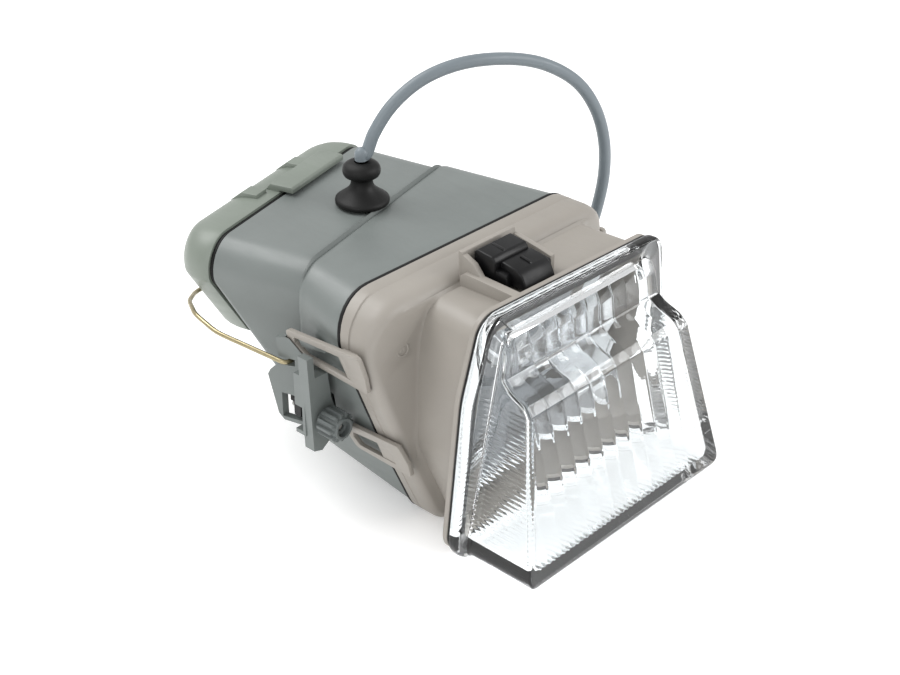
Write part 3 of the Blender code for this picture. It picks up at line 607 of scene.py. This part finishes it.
def lens_mesh():
    verts, faces = [], []

    def add(points):
        start = len(verts)
        verts.extend([tuple(p) for p in points])
        return start

    grids = []
    for outside in (True, False):
        g = skin(outside)
        s = add(g.reshape(-1, 3))
        for j in range(nz - 1):
            r0, r1 = s + j * nx, s + (j + 1) * nx
            for i in range(nx - 1):
                q = (r0 + i, r0 + i + 1, r1 + i + 1, r1 + i)
                faces.append(q if outside else q[::-1])
        grids.append((g, s))
    (go, so), (gi, si) = grids

    def rim(g, s):
        return [s + j * nx + i for j, i in LOOP], np.array([g[j, i] for j, i in LOOP])

    oi, op = rim(go, so)
    ii, ip = rim(gi, si)
    flange = outline(FLANGE, FLANGE_R, 16, 4)
    mouth = np.stack([op[:, 0], op[:, 2]], -1)
    full = cast(flange, mouth)

    def level(xz, y):
        return add([(p[0], y if np.isscalar(y) else y[k], p[1]) for k, p in enumerate(xz)])

    def toward(a, b, t):
        return a + (b - a) * t

    # wall, fillet, flange face, rounded edge, flange back, inside wall
    chain = [oi]
    lead = np.minimum(op[:, 1] + 0.0, -66.0)
    for t in (0.5, 1.0):
        y = op[:, 1] + (-67.6 - op[:, 1]) * t
        y = np.maximum(y, op[:, 1])
        chain.append(list(range(level(mouth, np.maximum(y, op[:, 1] + 0.02)), len(verts))))
    gap = np.linalg.norm(full - mouth, axis=1)
    for step, y in ((0.35, -66.6), (1.2, -66.05)):
        f = np.clip(step / np.maximum(gap, 0.5), 0, 0.4)[:, None]
        chain.append(list(range(level(mouth + (full - mouth) * f, np.maximum(y, op[:, 1] + 0.04)), len(verts))))
    for inner_by, y in ((2.2, -66.0), (1.3, -65.86), (0.6, -65.4), (0.15, -64.6), (0.0, -63.6), (0.0, -61.6), (0.15, -60.9), (0.6, -60.45), (1.2, -60.3)):
        f = np.clip(1 - inner_by / np.maximum(gap, 0.5), 0.45, 1)[:, None]
        chain.append(list(range(level(mouth + (full - mouth) * f, y), len(verts))))
    inside = np.stack([ip[:, 0], ip[:, 2]], -1)
    plain = skin(False, True)
    clean = np.array([plain[j, i] for j, i in LOOP])
    calm = np.stack([clean[:, 0], clean[:, 2]], -1)
    chain.append(list(range(level(calm + (full - calm) * 0.12, -60.3), len(verts))))
    chain.append(list(range(level(calm, -60.45), len(verts))))
    for t, ridge in ((0.4, 0.0), (0.72, 0.0), (0.9, 1.0)):
        y = -60.9 + (ip[:, 1] + 60.9) * t
        chain.append(list(range(level(calm + (inside - calm) * ridge, y), len(verts))))
    chain.append(ii)
    for a, b in zip(chain, chain[1:]):
        for k in range(nl):
            k2 = (k + 1) % nl
            faces.append((a[k], a[k2], b[k2], b[k]))
    return verts, faces


lv, lf = lens_mesh()
lens = solid("lens_fluted", lv, lf, GLASS_M, 38)
lens.visible_shadow = False
done(lens, "lamp", "lens_glass", "lens")

# ---------------------------------------------------------------- bezel
RING_AT = (-54.5, 26.0)
PLATE = inset(FLANGE, 1.0)
bez = [
    ring(JOINT, JOINT_R, lean, 0),
    ring(inset(JOINT, -0.0), JOINT_R, deep, -4.2),
    ring(inset(JOINT, 0.35), JOINT_R, deep, -4.6),
    ring(inset(JOINT, 0.35), JOINT_R, deep, -5.2),
    ring(inset(JOINT, 0.0), JOINT_R, deep, -5.6),
    ring(JOINT, JOINT_R, deep, -10.6),
    ring(inset(JOINT, 0.25), JOINT_R, deep, -12.2),
    ring(inset(JOINT, 0.9), r_in(JOINT_R, 0.7), deep, -13.4),
    ring(inset(JOINT, 1.9), r_in(JOINT_R, 1.5), deep, -14.5),
    ring(inset(JOINT, 3.2), r_in(JOINT_R, 2.5), deep, -15.2),
    ring(inset(JOINT, 4.8), r_in(JOINT_R, 3.8), deep, -15.6),
]
neck_back, neck_front = ring(NECK_B, NECK_BR, deep, -17.0), ring(NECK_F, NECK_FR, flat, -55)
bez += between(ring(inset(NECK_B, -1.4), NECK_BR, deep, -16.3), neck_back, 2)
bez += between(neck_back, neck_front, 6)
bez += [
    neck_front,
    ring(inset(NECK_F, -0.6), NECK_FR, flat, -55.5),
    ring(inset(PLATE, 0.4), FLANGE_R, flat, -55.6),
    ring(PLATE, FLANGE_R, flat, -56.0),
    ring(PLATE, FLANGE_R, flat, -58.2),
    ring(inset(PLATE, 0.4), FLANGE_R, flat, -58.6),
    ring(inset(NECK_F, 4.2), r_in(NECK_FR, 3), flat, -58.6),
    ring(inset(NECK_F, WALL), r_in(NECK_FR, 2), flat, -54),
    ring(inset(NECK_B, WALL), r_in(NECK_BR, 2), deep, -14.4),
    ring(inset(JOINT, 6.0), r_in(JOINT_R, 5), deep, -12.6),
    ring(inset(JOINT, 3.2), r_in(JOINT_R, 3), deep, -10),
    ring(inset(JOINT, 3.0), r_in(JOINT_R, 3), lean, 0),
]
bezel = faceted(tube("front_bezel_shell", bez, BEZEL, closed=True))


def side_left(z):
    return -78.3 + (38 - z) * 0.268


def side_right(z):
    return 90.9 - (38 - z) * 0.205


EAR1 = ([(28.5, 27), (29.5, 19), (21.5, 12.5), (-20, 10), (-21, 20), (-20, 31.5)], [(24, 24), (24.6, 20.5), (18, 15.5), (-10.5, 14.5), (-11.0, 19.5), (-9.5, 26.5)], [(-5.0, 29), (-8.5, 12.5), (-18, 11.5), (-16, 29.5)])
EAR2 = ([(3.6, -18.5), (4.6, -25), (0.5, -32.5), (-35, -33.5), (-35, -25), (-31, -16)], [(0.2, -22.8), (0.6, -25.8), (-2.5, -29.6), (-26.5, -29.4), (-25.5, -25), (-21.5, -20.6)], [(-15.1, -18.5), (-17.9, -31.5), (-32, -31.5), (-28, -18)])
parts = []
for tag, side, sign, (eo, ei, pad) in (("lu", side_left, -1, EAR1), ("ll", side_left, -1, EAR2), ("ru", side_right, 1, EAR1), ("rl", side_right, 1, EAR2)):
    at = lambda u, v, w, side=side, sign=sign: (side(v) + sign * w, u, v)
    ro = outline(eo, [2.6, 2.4, 4, 2, 2, 2], 4, 1)
    ri = outline(ei, [1.2, 1.2, 2.4, 1.2, 1.2, 1.2], 4, 1)
    f = framed("ear_" + tag, ro, ri, 1.2, 3.9, BEZEL, at)
    parts.append(eased(f, 0.45, 2, 50))
    parts.append(eased(extruded("pad_" + tag, outline(pad, [1.5] * 4, 3, 1), -1.6, 3.5, BEZEL, at), 0.4, 2, 50))
parts += [
    eased(extruded("holder_near", [(-24, 43.5), (-57, 43.5), (-57, 52), (-27, 52.5), (-24, 50)], -19.5, -14.5, BEZEL, lambda u, v, w: (w, u, v)), 0.5),
    eased(extruded("holder_wall", [(-23.6, 43.5), (-36, 43.5), (-35, 52), (-30.5, 57.2), (-23.6, 60.0)], -17.2, -14.0, BEZEL, lambda u, v, w: (w, u, v)), 0.4),
    eased(extruded("holder_far", [(-24, 43.5), (-47, 43.5), (-47, 54.6), (-40, 56.0), (-24, 58.5)], 17.0, 20.0, BEZEL, lambda u, v, w: (w, u, v)), 0.5),
    eased(extruded("holder_back", [(-25.5, 43.3), (-25.5, 51), (-23.5, 61), (-21.0, 61), (-21.5, 43.3)], -17, 19, BEZEL, lambda u, v, w: (w, u, v)), 0.4),
]
face_n = Vector((-0.12, -1, 0.2126)).normalized()
fu = Vector((1, -0.12, 0)).normalized()
fv = face_n.cross(fu)
for tag, (mx, mz), prof_ring in (("outer", RING_AT, [(-1.2, 2.7), (0.15, 2.7), (0.35, 2.9), (0.35, 3.5), (0.15, 3.7), (-1.2, 3.7)]), ("inner", RING_AT, [(-1.2, 0.2), (0.05, 0.2), (0.2, 0.4), (0.2, 1.5), (0.05, 1.7), (-1.2, 1.7)])):
    parts.append(turned("mould_ring_" + tag, deep(mx, mz, -16.1), face_n, fu, fv, prof_ring, 40, BEZEL, closed=True))
combine(bezel, parts)
done(bezel, "lamp", "bezel_plastic", "front_bezel")

# ---------------------------------------------------------------- seals
g0, g1 = outline(inset(JOINT, 0.15), JOINT_R, 10, 4), outline(inset(JOINT, 3.2), r_in(JOINT_R, 3), 10, 4)
gr = [[lean(p.x, p.y, w) for p in pts] for pts, w in ((g0, 0.62), (outline(JOINT, JOINT_R, 10, 4), 1.0), (outline(JOINT, JOINT_R, 10, 4), 1.8), (g0, 2.2), (g1, 2.4), (g1, GAP))]
gr.append([lean(p.x, p.y, GAP) for p in outline(inset(JOINT, 0.6), JOINT_R, 10, 4)])
done(tube("housing_gasket_cord", gr, RUBBER, closed=True), "lamp", "black_rubber", "housing_gasket")
done(framed("lens_seal_cord", outline(inset(FLANGE, 1.0), FLANGE_R, 12, 4), outline(inset(FLANGE, 8.0), r_in(FLANGE_R, 5), 12, 4), -60.05, -58.85, RUBBER, flat), "lamp", "black_rubber", "lens_seal")

# ---------------------------------------------------------------- housing
hin = inset(JOINT, 0.9)
front_out, front_in = ring(hin, r_in(JOINT_R, 0.8), lean, 3.1), ring(inset(hin, WALL), r_in(JOINT_R, 3.5), lean, 2.75)
collar_out, collar_in = ring(COLLAR, COLLAR_R, back, 44.6), ring(inset(COLLAR, 3.4), r_in(COLLAR_R, 3), back, 43.5)
mid_out, mid_in = ring(MID, MID_R, back, 48.4), ring(inset(MID, WALL), r_in(MID_R, 2.5), back, 47.0)
rear_out, rear_in = ring(REAR, REAR_R, back, 95.6), ring(inset(REAR, WALL), r_in(REAR_R, 2.5), back, 96)
hs = [
    ring(inset(hin, 0.4), r_in(JOINT_R, 0.8), lean, 2.75),
    *between(front_out, collar_out, 8),
    collar_out,
    ring(inset(COLLAR, 0.12), COLLAR_R, back, 45.4),
    ring(inset(COLLAR, 0.8), COLLAR_R, back, 46.6),
    ring(inset(MID, -1.4), MID_R, back, 47.5),
    ring(inset(MID, -0.4), MID_R, back, 47.9),
    *between(mid_out, rear_out, 6),
    rear_out,
    ring(inset(REAR, 0.4), REAR_R, back, 96),
    *between(rear_in, mid_in, 2),
    mid_in,
    *between(collar_in, front_in, 3),
    front_in,
]
housing = faceted(tube("housing_shell", hs, HOUSING, closed=True))
combine(housing, [turned("grommet_hole", (GX, GY, 40), Z, X, Y, [(0, 8.2), (20, 8.2)], 48, None), box("arm_slot", (-76, 12.5, -15.2), (-50, 31.5, -7.4), None)], "DIFFERENCE")


def latch(tag, side, sign, y0, y1, z0, z1, root=-3.2):
    at = lambda u, v, w: (side(v) + sign * w, u, v)
    pts = [(y0, z0), (y1, z0), (y1, z1), (y0, z1)]
    lo, hi = [at(u, v, root) for u, v in pts], [at(u, v, 2.6 if u == y1 else -0.4) for u, v in pts]
    return eased(tube("latch_" + tag, [lo, hi], HOUSING), 0.3)


lug = extruded("lower_lug", outline([(30, -52.5), (30, -66), (52, -66), (52, -48)][::-1], [0.5, 3, 3, 0.5], 5, 1), 14, 34, HOUSING, lambda u, v, w: (w, u, v))
combine(lug, [turned("lug_hole", (10, 41, -58.5), X, Y, Z, [(0, 3.6), (30, 3.6)], 40, None)], "DIFFERENCE")
PX, PXR, PS, PZ, WIRE = -71.7, 97.1, 46.0, 10.0, 1.15
boss = eased(turned("bail_boss", rear(81.2, PS, PZ), T, N, Z, [(0, 4.6), (10.8, 4.6)], 40, HOUSING), 0.5)
combine(housing, [lug, latch("lu", side_left, -1, 9, 22.0, 19.0, 23.4), latch("ru", side_right, 1, 9, 22.0, 19.0, 23.4, -8.0), boss])
combine(housing, [turned("bail_bore", rear(84.5, PS, PZ), T, N, Z, [(0, WIRE + GAP), (12, WIRE + GAP)], 24, None)], "DIFFERENCE")
done(housing, "lamp", "housing_plastic", "housing")

# ---------------------------------------------------------------- rear cover
C0 = inset(REAR, -0.9)


def dome(f, s, d=0.0):
    return ring(shrunk(C0, f, d), [r * f for r in REAR_R], back, s)


cov = [dome(0.996, 98.0), dome(1, 98.5), dome(1, 103), dome(0.996, 105.5), dome(0.985, 109), dome(0.965, 112.2), dome(0.93, 115.4), dome(0.89, 117.8), dome(0.85, 119.3), dome(0.80, 120.3), dome(0.76, 120.5)]
cin = [dome(0.74, 117.6, 3), dome(0.83, 116.6, 3), dome(0.90, 114, 3.2), dome(0.96, 109, 3.2), dome(1, 103, 3.2), dome(1, 98.0, 3.2)]
cover = faceted(tube("rear_cover_shell", cov[::-1] + cin[::-1], COVER))
hook = eased(extruded("hook", [(90.4, 53.4), (90.4, 55.6), (91.4, 56.6), (104, 56.2), (108, 51), (99, 50.4), (98.6, 53.4)], 5, 52, COVER, lambda u, v, w: rear(w, u, v)), 0.45)
ribs = [eased(extruded("rib_%d" % k, [(104, 49), (104, 54.8), (113, 54.4), (119.6, 49), (120.6, 40), (118, 39)], x, x + 9, COVER, lambda u, v, w: rear(w, u, v)), 0.45) for k, x in enumerate((-7, 33))]
combine(cover, [hook, *ribs])
done(cover, "rear_cover", "cover_plastic", "rear_cover")
done(framed("rear_cover_seal_cord", outline(inset(REAR, 0.4), REAR_R, 10, 4), outline(inset(REAR, 3.0), r_in(REAR_R, 2.5), 10, 4), 96.3, 97.7, RUBBER, back), "rear_cover", "black_rubber", "rear_cover_seal")

# ---------------------------------------------------------------- bail
half = [(-63.5, PS, PZ), (PX, PS, PZ), (PX, 85, 16), (-66, 101, 18.5), (-52, 115, 15), (-36, 123.8, 9.5), (-12, 125.4, 6.5)]
bail_pts = [rear(*p) for p in half] + [rear(12.7, 125.6, 6.0)] + [rear(*p) for p in [(25.4 - a, s, z) for a, s, z in half[::-1][:-2]]] + [rear(PXR, PS, PZ), rear(86.0, PS, PZ)]
done(wire("bail_spring_wire", rounded(bail_pts, 4.5, 8), WIRE, WIRE_M, 6), "bail", "plated_wire", "bail_wire")

# ---------------------------------------------------------------- knob, grommet, clip
KNOB_X, KNOB_Z = -74.8, -15.0
TEETH = 12
prof = []
for k in range(TEETH):
    for da, r in ((-0.31, 5.9), (-0.27, 6.1), (-0.22, 7.2), (-0.17, 7.5), (0.17, 7.5), (0.22, 7.2), (0.27, 6.1), (0.31, 5.9)):
        t = 2 * math.pi * (k + da) / TEETH
        prof.append((r * math.cos(t), r * math.sin(t)))


def knob_ring(y, kind, shrink=0.0):
    if kind == "teeth":
        return [(KNOB_X + a * (1 - shrink), y, KNOB_Z + b * (1 - shrink)) for a, b in prof]
    return [(KNOB_X + kind * a / math.hypot(a, b), y, KNOB_Z + kind * b / math.hypot(a, b)) for a, b in prof]


kr = [knob_ring(8.7, 1.95), knob_ring(8.7, 5.6), knob_ring(7.4, 5.6), knob_ring(7.1, "teeth", 0.05), knob_ring(6.7, "teeth"), knob_ring(-2.2, "teeth"), knob_ring(-2.6, "teeth", 0.05), knob_ring(-2.9, 5.3), knob_ring(-4.0, 5.2), knob_ring(-4.2, 5.0), knob_ring(-4.2, 4.1), knob_ring(-4.0, 3.9), knob_ring(-1.6, 3.9), knob_ring(-1.6, 1.95)]
done(tube("adjuster_knob_toothed", kr, KNOB, closed=True, deg=28), "adjuster", "housing_plastic", "adjuster_knob")

gp = [(-9, 3.55), (-9, 9.4), (-5.2, 9.4), (-4.6, 7.9), (0.5, 7.9), (0.95, 13.0), (1.3, 13.35), (2.4, 13.4), (3.2, 13.2), (4.0, 12.2), (5.0, 10.8), (6.4, 9.0), (8.0, 7.2), (9.6, 6.0), (11.0, 5.5), (12.6, 5.35), (13.8, 5.5), (14.4, 6.2), (14.7, 7.4), (15.4, 8.6), (16.6, 9.2), (18.0, 9.4), (19.4, 9.2), (20.6, 8.5), (21.5, 7.3), (22.1, 5.9), (22.4, 4.8), (22.4, 3.55)]
done(turned("cable_grommet_soft", (GX, GY, TOP + 1.4), Z, X, Y, gp, 56, RUBBER, closed=True, deg=50), "lamp", "black_rubber", "cable_grommet")

side = lambda u, v, w: (w, u, v)
cl = eased(extruded("mounting_clip_block", [(-26, 48.8), (-26, 60.8), (-28, 62.1), (-37.0, 61.2), (-38.8, 59.2), (-38.8, 48.8)], -12.0, 11.2, BLACK, side), 0.8, 3)
combine(cl, [
    eased(extruded("clip_front", [(-36.0, 48.4), (-36.0, 57.6), (-40, 58.4), (-48.6, 57.0), (-51.6, 54.8), (-53.8, 50.2), (-54.2, 48.0)], -8.0, 12.2, BLACK, side), 0.8, 3),
    eased(extruded("clip_tab", [(-39.5, 48.4), (-39.5, 55.0), (-41, 56.2), (-49, 55.2), (-50.5, 48.4)], 11.4, 14.7, BLACK, side), 0.5, 2),
    eased(extruded("clip_step", [(-34, 48.4), (-34, 55.6), (-44.5, 54.2), (-46, 48.4)], -11.4, -7.0, BLACK, side), 0.5, 2),
    eased(extruded("clip_rib_a", [(-27.6, 61.0), (-29.0, 62.2), (-36.0, 61.7), (-37.2, 60.0)], -3.6, -1.6, BLACK, side), 0.25, 2),
    eased(extruded("clip_rib_b", [(-41, 57.0), (-42.0, 58.8), (-47.6, 57.8), (-49, 56.0)], 1.4, 3.0, BLACK, side), 0.25, 2),
])
done(cl, "lamp", "black_plastic", "mounting_clip")

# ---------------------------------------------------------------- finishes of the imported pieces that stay
KEPT = {
    "adjuster_bracket": HOUSING, "adjuster_nut": BLACK, "reflector_arm": BLACK, "adjuster_screw": ZINC, "adjuster_retainer": ZINC,
    "pivot_pin_left": ZINC, "pivot_pin_right": ZINC, "bulb_holder": ZINC, "bulb_base": ZINC, "bulb_terminal": BRASS, "pin_live": BRASS, "pin_earth": BRASS,
    "bulb_glass": GLASS_M, "bulb_shield": CHROME, "reflector": CHROME, "bulb_spring_clip": WIRE_M, "bulb_lead": LEAD, "earth_lead": LEAD,
}
for n, m in KEPT.items():
    me = NODES[n].data
    me.materials.clear()
    me.materials.append(m)
